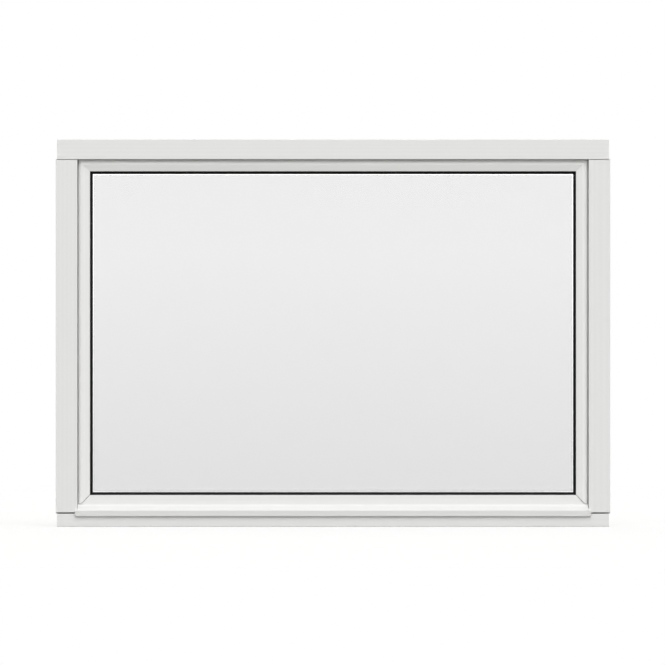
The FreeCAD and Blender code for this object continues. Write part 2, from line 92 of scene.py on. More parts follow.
# A Mix node's two colours and their mixture, by number, because its sockets share their names.
COLOUR_A, COLOUR_B, MIXTURE = 6, 7, 2
Node = bpy.types.Node
Tree = bpy.types.NodeTree
Piece = bpy.types.Object


class Run(Enum):
    """Which way a length of stock runs in the window."""

    LEVEL = "level"
    UPRIGHT = "upright"

    @property
    def axis(self) -> Vector:
        """The direction of the run."""
        return Vector((1.0, 0.0, 0.0)) if self is Run.LEVEL else Vector((0.0, 0.0, 1.0))

    @property
    def letter(self) -> str:
        """The name of the axis along the run."""
        return "X" if self is Run.LEVEL else "Z"

    def drawn_out(self, along: float, across: float) -> Vector:
        """Gives a pattern one size along the run and another across it.

        Args:
            along: Size of the pattern along the run.
            across: Size of the pattern across the run.

        Returns:
            The size in X, Y and Z, in metres.
        """
        return (Vector((across, across, across)) + self.axis * (along - across)) * MM


class Side(Enum):
    """A side of the glass."""

    TOP = "top"
    BOTTOM = "bottom"
    LEFT = "left"
    RIGHT = "right"

    @property
    def run(self) -> Run:
        """Which way the stock along this side runs."""
        return Run.LEVEL if self in (Side.TOP, Side.BOTTOM) else Run.UPRIGHT


def per_metre(size: float) -> float:
    """How many patterns of a size in millimetres go into a metre."""
    return 1.0 / (size * MM)


def linear(colour: str) -> tuple[float, float, float, float]:
    """Turns an sRGB hex colour to the linear values that the shaders take.

    Args:
        colour: Six hex digits, with or without a leading hash.

    Returns:
        Linear red, green and blue, with full alpha.
    """
    digits = colour.lstrip("#")
    levels = [int(digits[place : place + 2], 16) / 255 for place in (0, 2, 4)]
    red, green, blue = (v / 12.92 if v <= 0.04045 else ((v + 0.055) / 1.055) ** 2.4 for v in levels)
    return red, green, blue, 1.0


def add_node(tree: Tree, kind: str, sockets: dict | None = None, **settings: object) -> Node:
    """Adds a node with its settings and links.

    Args:
        tree: The node tree that gets the node.
        kind: The node's type.
        sockets: For each input, by name or number, a plain value or the output that feeds it.
        settings: Properties of the node itself.

    Returns:
        The new node.
    """
    node = tree.nodes.new(kind)
    for name, value in settings.items():
        setattr(node, name, value)
    for socket, value in (sockets or {}).items():
        if isinstance(value, bpy.types.NodeSocket):
            tree.links.new(value, node.inputs[socket])
        else:
            node.inputs[socket].default_value = value
    return node


def new_material(name: str) -> tuple[bpy.types.Material, Tree]:
    """Starts a material with an empty node tree.

    Args:
        name: The material's name.

    Returns:
        The material and its tree.
    """
    material = bpy.data.materials.new(name)
    material.use_nodes = True
    material.node_tree.nodes.clear()
    return material, material.node_tree


@dataclass(frozen=True)
class SprayedPine:
    """White acrylic paint sprayed on planed pine.

    The film is opaque and satin. Under it the growth rings still stand up by a few hundredths of a
    millimetre, as long lines on a board's faces and arcs on its ends. The spray leaves a faint orange peel,
    and the sawn ends drink more paint, so they stay rougher and their rings show. Pine has rings of 2 to
    3 mm: they are drawn coarser here, because finer ones would not show from a few metres.
    """

    slot: str = "painted_pine"
    paint: str = "#E5E5E5"
    paint_on_rings: str = "#E3E3E3"
    paint_on_ends: str = "#DEDEDA"
    rings_on_ends: str = "#CFCFCA"
    ior: float = 1.48
    gloss: tuple[float, float] = (0.36, 0.46)
    ring_spacing: float = 6.0
    ring_wander: float = 2.5
    wander_length: float = 250.0
    ring_relief: float = 0.03
    ring_octaves: float = 2.0
    peel_size: float = 1.8
    peel_relief: float = 0.006
    peel_octaves: float = 1.0
    pore_size: float = 1.2
    pore_relief: float = 0.05
    # How square to the grain a face is where end grain begins, and where it is full.
    end_facing: tuple[float, float] = (0.85, 0.97)

    def material(self, board: str, run: Run, pith: Vector) -> bpy.types.Material:
        """Draws the paint on a board.

        Args:
            board: The board's name.
            run: Which way its grain runs.
            pith: A point of the tree's heart, which the growth rings go round, in metres.

        Returns:
            The material.
        """
        made, tree = new_material(f"sprayed_paint_on_planed_pine_{board}")
        at = add_node(tree, "ShaderNodeTexCoord")
        log = add_node(
            tree,
            "ShaderNodeMapping",
            {
                "Vector": at.outputs["Object"],
                "Location": pith,
                "Scale": run.drawn_out(self.wander_length, self.ring_spacing),
            },
            vector_type="TEXTURE",
        )
        rings = add_node(
            tree,
            "ShaderNodeTexWave",
            {
                "Vector": log.outputs[0],
                "Scale": WAVE_LENGTH,
                "Distortion": self.ring_wander,
                "Detail": self.ring_octaves,
            },
            wave_type="RINGS",
            rings_direction=run.letter,
        )
        peel = add_node(
            tree,
            "ShaderNodeTexNoise",
            {
                "Vector": at.outputs["Object"],
                "Scale": per_metre(self.peel_size),
                "Detail": self.peel_octaves,
            },
        )
        pores = add_node(
            tree,
            "ShaderNodeTexVoronoi",
            {"Vector": at.outputs["Object"], "Scale": per_metre(self.pore_size)},
        )
        along = add_node(
            tree, "ShaderNodeVectorMath", {0: at.outputs["Normal"], 1: run.axis}, operation="DOT_PRODUCT"
        )
        facing_end = add_node(tree, "ShaderNodeMath", {0: along.outputs["Value"]}, operation="ABSOLUTE")
        begins, full = self.end_facing
        on_end = add_node(
            tree,
            "ShaderNodeMapRange",
            {"Value": facing_end.outputs[0], "From Min": begins, "From Max": full},
        )
        raised = add_node(
            tree,
            "ShaderNodeBump",
            {"Strength": 1.0, "Distance": self.ring_relief * MM, "Height": rings.outputs["Fac"]},
        )
        pitted = add_node(
            tree,
            "ShaderNodeBump",
            {
                "Strength": on_end.outputs[0],
                "Distance": self.pore_relief * MM,
                "Height": pores.outputs["Distance"],
                "Normal": raised.outputs[0],
            },
        )
        skin = add_node(
            tree,
            "ShaderNodeBump",
            {
                "Strength": 1.0,
                "Distance": self.peel_relief * MM,
                "Height": peel.outputs[0],
                "Normal": pitted.outputs[0],
            },
        )
        face, end = (
            add_node(
                tree,
                "ShaderNodeMix",
                {0: rings.outputs["Fac"], COLOUR_A: linear(between), COLOUR_B: linear(on_ring)},
                data_type="RGBA",
            )
            for between, on_ring in (
                (self.paint, self.paint_on_rings),
                (self.paint_on_ends, self.rings_on_ends),
            )
        )
        tone = add_node(
            tree,
            "ShaderNodeMix",
            {0: on_end.outputs[0], COLOUR_A: face.outputs[MIXTURE], COLOUR_B: end.outputs[MIXTURE]},
            data_type="RGBA",
        )
        gloss = add_node(
            tree,
            "ShaderNodeMapRange",
            {"Value": rings.outputs["Fac"], "To Min": self.gloss[0], "To Max": self.gloss[1]},
        )
        film = add_node(
            tree,
            "ShaderNodeBsdfPrincipled",
            {
                "Base Color": tone.outputs[MIXTURE],
                "Roughness": gloss.outputs[0],
                "IOR": self.ior,
                "Normal": skin.outputs[0],
            },
        )
        add_node(tree, "ShaderNodeOutputMaterial", {"Surface": film.outputs[0]})
        return made


@dataclass(frozen=True)
class DrawnSkin:
    """A skin with streaks along the run and a fine even texture: the drawn and the moulded finishes.

    Streaks come from a die or a mould's flow, and the texture from a coating, a spark-eroded mould or foam
    cells.
    """

    slot: str
    name: str
    colour: str
    colour_in_streaks: str
    ior: float
    gloss: tuple[float, float]
    streak_length: float
    streak_width: float
    streak_relief: float
    grit: float
    grit_relief: float
    metallic: float = 0.0
    specular: float = 0.5
    octaves: float = 2.0
    # The part of each noise's range that the two colours, and the two roughnesses, are spread over.
    streak_span: tuple[float, float] = (0.35, 0.65)
    grit_span: tuple[float, float] = (0.3, 0.7)

    def material(self, run: Run) -> bpy.types.Material:
        """Draws the skin on a length of stock.

        Args:
            run: Which way the stock runs.

        Returns:
            The material.
        """
        made, tree = new_material(f"{self.name}_{run.value}")
        at = add_node(tree, "ShaderNodeTexCoord")
        drawn = add_node(
            tree,
            "ShaderNodeMapping",
            {"Vector": at.outputs["Object"], "Scale": run.drawn_out(self.streak_length, self.streak_width)},
            vector_type="TEXTURE",
        )
        streaks = add_node(
            tree, "ShaderNodeTexNoise", {"Vector": drawn.outputs[0], "Scale": 1.0, "Detail": self.octaves}
        )
        grit = add_node(
            tree,
            "ShaderNodeTexNoise",
            {"Vector": at.outputs["Object"], "Scale": per_metre(self.grit), "Detail": self.octaves},
        )
        lined = add_node(
            tree,
            "ShaderNodeBump",
            {"Strength": 1.0, "Distance": self.streak_relief * MM, "Height": streaks.outputs[0]},
        )
        grainy = add_node(
            tree,
            "ShaderNodeBump",
            {
                "Strength": 1.0,
                "Distance": self.grit_relief * MM,
                "Height": grit.outputs[0],
                "Normal": lined.outputs[0],
            },
        )
        low, high = self.streak_span
        in_streak = add_node(
            tree, "ShaderNodeMapRange", {"Value": streaks.outputs[0], "From Min": low, "From Max": high}
        )
        tone = add_node(
            tree,
            "ShaderNodeMix",
            {
                0: in_streak.outputs[0],
                COLOUR_A: linear(self.colour),
                COLOUR_B: linear(self.colour_in_streaks),
            },
            data_type="RGBA",
        )
        gloss = add_node(
            tree,
            "ShaderNodeMapRange",
            {
                "Value": grit.outputs[0],
                "From Min": self.grit_span[0],
                "From Max": self.grit_span[1],
                "To Min": self.gloss[0],
                "To Max": self.gloss[1],
            },
        )
        skin = add_node(
            tree,
            "ShaderNodeBsdfPrincipled",
            {
                "Base Color": tone.outputs[MIXTURE],
                "Metallic": self.metallic,
                "Roughness": gloss.outputs[0],
                "IOR": self.ior,
                "Specular IOR Level": self.specular,
                "Normal": grainy.outputs[0],
            },
        )
        add_node(tree, "ShaderNodeOutputMaterial", {"Surface": skin.outputs[0]})
        return made


# Polyester powder baked on extruded aluminium: satin, with the die's lines just telling through the coat.
POWDER_COAT = DrawnSkin(
    slot="coated_aluminium",
    name="powder_coat_on_extruded_aluminium",
    colour="#E7E7E7",
    colour_in_streaks="#E4E4E4",
    ior=1.5,
    gloss=(0.34, 0.44),
    streak_length=600.0,
    streak_width=3.0,
    streak_relief=0.01,
    grit=1.6,
    grit_relief=0.008,
)
# ASA moulded in a spark-eroded tool: an even matt grain and no sheen.
MOULDED_ASA = DrawnSkin(
    slot="cap_plastic",
    name="moulded_asa",
    colour="#E4E4E2",
    colour_in_streaks="#E0E0DE",
    ior=1.49,
    gloss=(0.46, 0.56),
    streak_length=30.0,
    streak_width=8.0,
    streak_relief=0.01,
    grit=0.7,
    grit_relief=0.012,
)
# EPDM drawn through a die and cured: near black, with faint lines along it, and so matt that little light
# glances off.
EXTRUDED_EPDM = DrawnSkin(
    slot="epdm_rubber",
    name="extruded_epdm",
    colour="#08080A",
    colour_in_streaks="#0C0C0E",
    ior=1.52,
    gloss=(0.62, 0.78),
    streak_length=300.0,
    streak_width=0.8,
    streak_relief=0.01,
    grit=0.6,
    grit_relief=0.01,
    specular=0.15,
)
# Closed-cell polyethylene foam, cut to a tape: black, dull, with open cells on the cut edge.
CUT_FOAM = DrawnSkin(
    slot="glazing_tape",
    name="cut_polyethylene_foam",
    colour="#1A1A1C",
    colour_in_streaks="#222224",
    ior=1.5,
    gloss=(0.82, 0.95),
    streak_length=60.0,
    streak_width=4.0,
    streak_relief=0.02,
    grit=0.9,
    grit_relief=0.12,
)
# Aluminium spacer bar, roll formed from bright strip: a soft mirror with rolling lines along it.
ROLLED_ALUMINIUM = DrawnSkin(
    slot="spacer_bar",
    name="roll_formed_aluminium",
    colour="#F6F6F5",
    colour_in_streaks="#F1F1F0",
    ior=1.5,
    gloss=(0.05, 0.09),
    streak_length=400.0,
    streak_width=0.9,
    streak_relief=0.002,
    grit=1.2,
    grit_relief=0.001,
    metallic=1.0,
)
# Polysulphide gunned into the edge of the unit and cured: dark, waxy and a little lumpy.
CURED_POLYSULPHIDE = DrawnSkin(
    slot="spacer_bar",
    name="cured_polysulphide",
    colour="#1E1E1F",
    colour_in_streaks="#262627",
    ior=1.6,
    gloss=(0.5, 0.62),
    streak_length=90.0,
    streak_width=6.0,
    streak_relief=0.08,
    grit=2.5,
    grit_relief=0.04,
)
# Moulded polypropylene: smooth and waxy, tinted by the maker's colour for its thickness.
MOULDED_POLYPROPYLENE = DrawnSkin(
    slot="block_plastic",
    name="moulded_polypropylene",
    colour="#5A82AE",
    colour_in_streaks="#557CA8",
    ior=1.49,
    gloss=(0.38, 0.48),
    streak_length=40.0,
    streak_width=10.0,
    streak_relief=0.02,
    grit=0.8,
    grit_relief=0.01,
)


@dataclass(frozen=True)
class FloatGlass:
    """Soda-lime float glass, toughened.

    Fire-finished, so a true mirror at a glance. A heat-holding coating takes some light out of what is seen
    through it, and the rollers of the furnace leave a slow wave that only shows in a slanting reflection.
    """

    name: str
    tint: str
    slot: str = "clear_glass"
    ior: float = 1.52
    wave_length: float = 300.0
    wave_width: float = 1200.0
    wave_relief: float = 0.01

    def material(self) -> bpy.types.Material:
        """Draws the glass.

        Returns:
            The material.
        """
        made, tree = new_material(self.name)
        at = add_node(tree, "ShaderNodeTexCoord")
        rollers = add_node(
            tree,
            "ShaderNodeMapping",
            {
                "Vector": at.outputs["Object"],
                "Scale": Run.LEVEL.drawn_out(self.wave_width, self.wave_length),
            },
            vector_type="TEXTURE",
        )
        wave = add_node(
            tree, "ShaderNodeTexNoise", {"Vector": rollers.outputs[0], "Scale": 1.0, "Detail": 0.0}
        )
        slow = add_node(
            tree,
            "ShaderNodeBump",
            {"Strength": 1.0, "Distance": self.wave_relief * MM, "Height": wave.outputs[0]},
        )
        glass = add_node(
            tree,
            "ShaderNodeBsdfPrincipled",
            {
                "Base Color": linear(self.tint),
                "Roughness": 0.0,
                "IOR": self.ior,
                "Transmission Weight": 1.0,
                "Normal": slow.outputs[0],
            },
        )
        add_node(tree, "ShaderNodeOutputMaterial", {"Surface": glass.outputs[0]})
        return made


# The outer pane is bare glass, so the spacer behind it stays bright. The other two carry the coating.
CLEAR_GLASS = FloatGlass("clear_float_glass", "#FCFCFC")
COATED_GLASS = FloatGlass("coated_float_glass", "#F5F5F5")


@dataclass(frozen=True)
class Corner:
    """A corner of a section: its reach from the sight line, depth from the weather face, and rounding."""

    reach: float
    depth: float
    radius: float = 0.0

    @property
    def point(self) -> Vector:
        """The corner as a point of the section."""
        return Vector((self.reach, self.depth))


def arc_at(before: Corner, corner: Corner, after: Corner) -> list[Vector]:
    """Rounds one corner of a section.

    Args:
        before: The corner before it.
        corner: The corner to round.
        after: The corner after it.

    Returns:
        The points of the rounding, or the bare corner where it has no radius.
    """
    if not corner.radius:
        return [corner.point]
    back = (before.point - corner.point).normalized()
    on = (after.point - corner.point).normalized()
    opening = back.angle(on)
    start = corner.point + back * (corner.radius / math.tan(opening / 2))
    centre = corner.point + (back + on).normalized() * (corner.radius / math.sin(opening / 2))
    turn = math.copysign(math.pi - opening, on.x * back.y - on.y * back.x)
    steps = max(2, math.ceil(abs(turn) / ARC_STEP))
    turns = (Matrix.Rotation(turn * step / steps, 2) for step in range(steps + 1))
    return [centre + part @ (start - centre) for part in turns]


def outline_of(corners: list[Corner]) -> list[Vector]:
    """Turns a section's corners to the points of its outline.

    Args:
        corners: The corners in order round the section.

    Returns:
        The points, with each rounding as an arc.
    """
    around = zip(corners[-1:] + corners[:-1], corners, corners[1:] + corners[:1])
    return [point for before, corner, after in around for point in arc_at(before, corner, after)]


def grooved(start: Corner, end: Corner, count: int, width: float, sink: float) -> list[Corner]:
    """Sinks V grooves into the flank between two corners of a section.

    Args:
        start: The corner where the flank starts.
        end: The corner where it ends.
        count: How many grooves.
        width: Width of a groove's mouth.
        sink: Depth of a groove, to the right of the way from start to end.

    Returns:
        The corners of the grooves, in order.
    """
    way = (end.point - start.point).normalized()
    inward = Vector((way.y, -way.x)) * sink
    corners = []
    for number in range(count):
        middle = start.point.lerp(end.point, (number + 1) / (count + 1))
        points = (middle - way * width / 2, middle + inward, middle + way * width / 2)
        corners += [Corner(point.x, point.y) for point in points]
    return corners


@dataclass(frozen=True)
class Sight:
    """The glass that the beads leave in sight, and the weather face that depths start from, in metres."""

    half_width: float
    foot: float
    top: float
    front: float

    @classmethod
    def from_frame(cls, edge_cover: float) -> "Sight":
        """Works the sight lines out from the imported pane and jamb.

        Args:
            edge_cover: How far the pane reaches behind the beads.

        Returns:
            The sight lines.
        """
        low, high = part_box("outer_pane")
        cover = edge_cover * MM
        return cls(high.x - cover, low.z + cover, high.z - cover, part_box("left_jamb")[0].y)

    def ends(self, side: Side, at: Vector) -> tuple[Vector, Vector]:
        """Places a point of a section at both mitred ends of a side.

        Args:
            side: The side of the glass.
            at: The point's reach in from the sight line and depth from the weather face.

        Returns:
            The two places, in metres.
        """
        reach = at.x * MM
        deep = self.front + at.y * MM
        right, low, high = self.half_width - reach, self.foot + reach, self.top - reach
        corners = {
            Side.TOP: ((-right, high), (right, high)),
            Side.BOTTOM: ((-right, low), (right, low)),
            Side.LEFT: ((-right, low), (-right, high)),
            Side.RIGHT: ((right, low), (right, high)),
        }
        first, last = corners[side]
        return Vector((first[0], deep, first[1])), Vector((last[0], deep, last[1]))


def new_piece(name: str, mesh: bpy.types.Mesh) -> Piece:
    """Puts a mesh in the scene, smooth except along its arrises.

    Args:
        name: The piece's name.
        mesh: Its mesh.

    Returns:
        The piece.
    """
    mesh.shade_smooth()
    mesh.set_sharp_from_angle(angle=SHARP)
    piece = bpy.data.objects.new(name, mesh)
    bpy.context.scene.collection.objects.link(piece)
    return piece


def keep_flats(piece: Piece) -> Piece:
    """Shades a piece so that its flat faces stay flat beside their roundings."""
    piece.modifiers.new("flat_faces", "WEIGHTED_NORMAL").keep_sharp = True
    return piece


def prism(name: str, starts: list[Vector], ends: list[Vector]) -> Piece:
    """Makes a closed length of stock from the outlines of its two ends.

    Args:
        name: The piece's name.
        starts: The outline at one end.
        ends: The outline at the other end, point for point.

    Returns:
        The piece.
    """
    count = len(starts)
    faces = [(i, (i + 1) % count, count + (i + 1) % count, count + i) for i in range(count)]
    faces += [tuple(range(count)), tuple(range(count, 2 * count))]
    mesh = bpy.data.meshes.new(name)
    mesh.from_pydata(starts + ends, [], faces)
    work = bmesh.new()
    work.from_mesh(mesh)
    bmesh.ops.recalc_face_normals(work, faces=work.faces[:])
    work.to_mesh(mesh)
    work.free()
    return keep_flats(new_piece(name, mesh))


def mitred_strip(name: str, sight: Sight, side: Side, corners: list[Corner]) -> Piece:
    """Makes a strip along one side of the glass, mitred at both ends.

    Args:
        name: The strip's name.
        sight: The sight lines that the strip follows.
        side: The side of the glass.
        corners: The strip's section.

    Returns:
        The strip.
    """
    ends = [sight.ends(side, point) for point in outline_of(corners)]
    return prism(name, [first for first, _ in ends], [last for _, last in ends])


def eased_copy(name: str, node: Piece, arris: float) -> Piece:
    """Copies a CAD piece with its sharp outer edges eased, as sanding and a film of paint leave them.

    Args:
        name: The copy's name.
        node: The CAD piece.
        arris: Width of the easing.

    Returns:
        The copy.
    """
    mesh = bpy.data.meshes.new(name)
    points = [vertex.co for vertex in node.data.vertices]
    mesh.from_pydata(points, [], [tuple(face.vertices) for face in node.data.polygons])
    work = bmesh.new()
    work.from_mesh(mesh)
    bmesh.ops.remove_doubles(work, verts=work.verts[:], dist=SAME_POINT * MM)
    bmesh.ops.dissolve_limit(work, angle_limit=FLAT, verts=work.verts[:], edges=work.edges[:])
    weight = work.edges.layers.float.new("bevel_weight_edge")
    for edge in work.edges:
        if edge.is_manifold and edge.is_convex and edge.calc_face_angle() > SHARP:
            edge[weight] = 1.0
    work.to_mesh(mesh)
    work.free()
    piece = new_piece(name, mesh)
    easing = piece.modifiers.new("easing", "BEVEL")
    easing.limit_method = "WEIGHT"
    easing.width = arris * MM
    easing.segments = EASING_STEPS
    easing.harden_normals = True
    return keep_flats(piece)


def dress(piece: Piece, material: bpy.types.Material, slot: str, *nodes: str) -> Piece:
    """Gives a piece its finish and sets it on the window in place of its CAD nodes.

    Args:
        piece: The piece.
        material: Its material.
        slot: The slot that the finish belongs to; not used.
        nodes: The CAD nodes that the piece stands for.

    Returns:
        The piece.
    """
    piece.data.materials.append(material)
    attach(piece, BODY)
    if nodes:
        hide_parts(*nodes)
    return piece


@dataclass
class PaintedTimber:
    """The frame's four members and the three timber beads round the glass."""

    nodes: dict[str, Piece]
    frame_arris: float = 0.5
    bead_arris: float = 0.7
    frame_finish: SprayedPine = SprayedPine()
    # The beads take the frame's paint drawn a shade lighter. This is painted light: it lifts the shade that
    # falls on them in their recess behind the frame's face.
    lightened_bead_finish: SprayedPine = SprayedPine(paint="#ECECEC", paint_on_rings="#EAEAEA")
    level: tuple[str, ...] = ("head", "sill", "head_bead")
    upright: tuple[str, ...] = ("left_jamb", "right_jamb", "left_bead", "right_bead")
    pith_off: tuple[float, float, float] = (60.0, 25.0, -75.0)

    def build(self) -> Iterable[Piece]:
        """Makes each member with its edges eased, its grain along its length and its own growth rings.

        Returns:
            The members, in order.
        """
        for run, names in ((Run.LEVEL, self.level), (Run.UPRIGHT, self.upright)):
            for name in names:
                finish, arris = self.frame_finish, self.frame_arris
                # The beads get the lighter paint, which stands in for light in their shaded recess.
                if name.endswith("bead"):
                    finish, arris = self.lightened_bead_finish, self.bead_arris
                piece = eased_copy(f"{name}_timber", self.nodes[name], arris)
                low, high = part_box(name)
                pith = (low + high) / 2 + Vector(self.pith_off) * MM
                yield dress(piece, finish.material(name, run, pith), finish.slot, name)


@dataclass
class DripBead:
    """The coved metal bead along the bottom and the plastic cap on each end of it."""

    nodes: dict[str, Piece]
    bead_arris: float = 0.4
    cap_arris: float = 0.5

    def build(self) -> Iterable[Piece]:
        """Makes the bead and its caps.

        Returns:
            The bead, then the left and the right cap.
        """
        bead = eased_copy("drip_bead_extrusion", self.nodes["drip_bead"], self.bead_arris)
        yield dress(bead, POWDER_COAT.material(Run.LEVEL), POWDER_COAT.slot, "drip_bead")
        plastic = MOULDED_ASA.material(Run.UPRIGHT)
        for side in ("left", "right"):
            name = f"{side}_end_cap"
            cap = eased_copy(f"{name}_moulding", self.nodes[name], self.cap_arris)
            yield dress(cap, plastic, MOULDED_ASA.slot, name)


@dataclass
class WeatherGasket:
    """The black rubber between the beads and the outer pane."""

    sight: Sight
    hold: float = 8.0
    bead_back: float = 21.0
    glass_face: float = 25.5
    rise: float = 3.0
    lip: float = 2.0
    edge: float = 0.5
    lip_edge: float = 0.9
    flank_grooves: int = 2
    flank_groove: tuple[float, float] = (0.8, 0.35)
    fins: int = 4
    fin_gap: tuple[float, float] = (1.6, 0.6)

    def section(self) -> list[Corner]:
        """Works out the strip's section.

        Returns:
            The corners: a foot clamped behind the bead, fins on the glass and a grooved flank in sight.
        """
        reach = (self.sight.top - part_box("weather_gasket_top")[0].z) / MM
        foot = Corner(-self.hold, self.glass_face, self.edge)
        toe = Corner(reach, self.glass_face, self.edge)
        lip = Corner(reach, self.glass_face - self.lip, self.lip_edge)
        crest = Corner(0.0, self.bead_back - self.rise, self.edge)
        return [
            Corner(-self.hold, self.bead_back, self.edge),
            foot,
            *grooved(foot, toe, self.fins, *self.fin_gap),
            toe,
            lip,
            *grooved(lip, crest, self.flank_grooves, *self.flank_groove),
            crest,
            Corner(0.0, self.bead_back),
        ]

    def build(self) -> Iterable[Piece]:
        """Makes the four mitred strips.

        Returns:
            The strips.
        """
        section = self.section()
        rubber = {run: EXTRUDED_EPDM.material(run) for run in Run}
        for side in Side:
            strip = mitred_strip(f"gasket_{side.value}_strip", self.sight, side, section)
            yield dress(strip, rubber[side.run], EXTRUDED_EPDM.slot, f"weather_gasket_{side.value}")


@dataclass
class GlassUnit:
    """The sealed unit: three panes, a spacer ring in each cavity and the seal behind each ring."""

    sight: Sight
    edge_cover: float = 9.0
    pane_arris: float = 0.6
    bar_foot: float = 2.0
    bar_shoulder: float = 0.8
    shoulder_depth: float = 3.2
    butyl: float = 0.25
    bar_edge: float = 0.25
    channel: tuple[float, float] = (5.0, 0.4)
    seal_gap: float = 0.1

    def pane(self, name: str) -> Piece:
        """Makes a pane with its edges ground to a small arris.

        Args:
            name: The pane's CAD node.

        Returns:
            The pane.
        """
        low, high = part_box(name)
        mesh = bpy.data.meshes.new(name)
        work = bmesh.new()
        size = Matrix.Diagonal((*(high - low), 1.0))
        bmesh.ops.create_cube(work, size=1.0, matrix=Matrix.Translation((low + high) / 2) @ size)
        bmesh.ops.bevel(
            work, geom=work.edges[:], offset=self.pane_arris * MM, segments=1, affect="EDGES", profile=0.5
        )
        work.to_mesh(mesh)
        work.free()
        piece = new_piece(f"{name}_glass", mesh)
        piece.visible_shadow = False
        return piece

    def bar_section(self, front: float, back: float, top: float) -> list[Corner]:
        """Works out the spacer's section in one cavity.

        Args:
            front: Depth of the cavity's front.
            back: Depth of its back.
            top: How far the bar reaches in from the sight line.

        Returns:
            The corners: a bar with shoulders for the seal and a channel in its inner face.
        """
        near, far = front + self.butyl, back - self.butyl
        middle = (front + back) / 2
        width, sink = self.channel
        return [
            Corner(-self.bar_foot, front + self.shoulder_depth),
            Corner(self.bar_shoulder, near),
            Corner(top, near, self.bar_edge),
            Corner(top, middle - width / 2),
            Corner(top - sink, middle - width / 2 + sink),
            Corner(top - sink, middle + width / 2 - sink),
            Corner(top, middle + width / 2),
            Corner(top, far, self.bar_edge),
            Corner(self.bar_shoulder, far),
            Corner(-self.bar_foot, back - self.shoulder_depth),
        ]

    def seal_section(self, front: float, back: float) -> list[Corner]:
        """Works out the seal's section in one cavity.

        Args:
            front: Depth of the cavity's front.
            back: Depth of its back.

        Returns:
            The corners: from the unit's edge up to the bar, and past its shoulders to the glass.
        """
        floor = -self.bar_foot - self.seal_gap
        brim = self.bar_shoulder - self.seal_gap
        return [
            Corner(-self.edge_cover, front),
            Corner(brim, front),
            Corner(floor, front + self.shoulder_depth),
            Corner(floor, back - self.shoulder_depth),
            Corner(brim, back),
            Corner(-self.edge_cover, back),
        ]

    def build(self) -> Iterable[Piece]:
        """Makes the panes, then each cavity's bars and seals.

        Returns:
            The panes, bars and seals.
        """
        coated = COATED_GLASS.material()
        yield dress(self.pane("outer_pane"), CLEAR_GLASS.material(), CLEAR_GLASS.slot, "outer_pane")
        for name in ("middle_pane", "inner_pane"):
            yield dress(self.pane(name), coated, COATED_GLASS.slot, name)
        metal = {run: ROLLED_ALUMINIUM.material(run) for run in Run}
        rubber = {run: CURED_POLYSULPHIDE.material(run) for run in Run}
        for ring in ("outer", "inner"):
            low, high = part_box(f"{ring}_spacer_top")
            cavity = [(edge.y - self.sight.front) / MM for edge in (low, high)]
            reach = (self.sight.top - low.z) / MM
            for side in Side:
                name = f"{ring}_spacer_{side.value}"
                bar = mitred_strip(f"{name}_bar", self.sight, side, self.bar_section(*cavity, reach))
                yield dress(bar, metal[side.run], ROLLED_ALUMINIUM.slot, name)
                seal = mitred_strip(f"{name}_seal", self.sight, side, self.seal_section(*cavity))
                yield dress(seal, rubber[side.run], CURED_POLYSULPHIDE.slot)


@dataclass
class RoomSide:
    """The foam tape between the glass and the frame's stop, and the blocks that carry the glass."""

    nodes: dict[str, Piece]
    tape_arris: float = 0.4
    rib_pitch: float = 8.0
    rib_gap: float = 3.0
    rib_height: float = 1.4

    def block(self, name: str) -> Piece:
        """Makes a setting block with drainage channels across its underside.

        Args:
            name: The block's CAD node.

        Returns:
            The block.
        """
        low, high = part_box(name)
        foot = low.z + self.rib_height * MM
        count = int((high.x - low.x) / (self.rib_pitch * MM))
        margin = ((high.x - low.x) / MM - count * self.rib_pitch + self.rib_pitch - self.rib_gap) / 2
        outline = [(high.x, high.z), (low.x, high.z), (low.x, low.z)]
        for number in range(count):
            left = low.x + (margin + number * self.rib_pitch) * MM
            right = left + self.rib_gap * MM
            outline += [(left, low.z), (left, foot), (right, foot), (right, low.z)]
        outline.append((high.x, low.z))
        starts = [Vector((x, low.y, z)) for x, z in outline]
        ends = [Vector((x, high.y, z)) for x, z in outline]
        return prism(f"{name}_moulding", starts, ends)

    def build(self) -> Iterable[Piece]:
        """Makes the tapes and the blocks.

        Returns:
            The tapes, then the blocks.
        """
        foam = {run: CUT_FOAM.material(run) for run in Run}
        for side in Side:
            name = f"inner_tape_{side.value}"
            tape = eased_copy(f"{name}_foam", self.nodes[name], self.tape_arris)
            yield dress(tape, foam[side.run], CUT_FOAM.slot, name)
        plastic = MOULDED_POLYPROPYLENE.material(Run.LEVEL)
        for side in ("left", "right"):
            name = f"{side}_setting_block"
            yield dress(self.block(name), plastic, MOULDED_POLYPROPYLENE.slot, name)


@dataclass(frozen=True)
class Lamp:
    """A large soft light, far off."""

    name: str
    level: float
    elevation_deg: float
    azimuth_deg: float
    angle_deg: float

    @property
    def towards(self) -> Vector:
        """The direction from the window to the light."""
        up, side = math.radians(self.elevation_deg), math.radians(self.azimuth_deg)
        return Vector((math.sin(side) * math.cos(up), -math.cos(side) * math.cos(up), math.sin(up)))

    def hang(self) -> None:
        """Puts the light in the scene, so that it doesn't itself show through glass.

        At a level of 1, a white face square to the light is just white.
        """
        lamp = bpy.data.lights.new(self.name, "SUN")
        lamp.energy = self.level * math.pi
        lamp.angle = math.radians(self.angle_deg)
        light = bpy.data.objects.new(self.name, lamp)
        light.rotation_euler = self.towards.to_track_quat("Z", "Y").to_euler()
        light.visible_transmission = False
        bpy.context.scene.collection.objects.link(light)


def studio_sheet(name: str, corners: list[tuple], material: bpy.types.Material) -> Piece:
    """Puts a flat sheet of the studio in the scene.

    Args:
        name: The sheet's name.
        corners: Its corners in order, in metres.
        material: Its material.

    Returns:
        The sheet.
    """
    mesh = bpy.data.meshes.new(name)
    mesh.from_pydata(corners, [], [tuple(range(len(corners)))])
    mesh.materials.append(material)
    sheet = bpy.data.objects.new(name, mesh)
    bpy.context.scene.collection.objects.link(sheet)
    return sheet


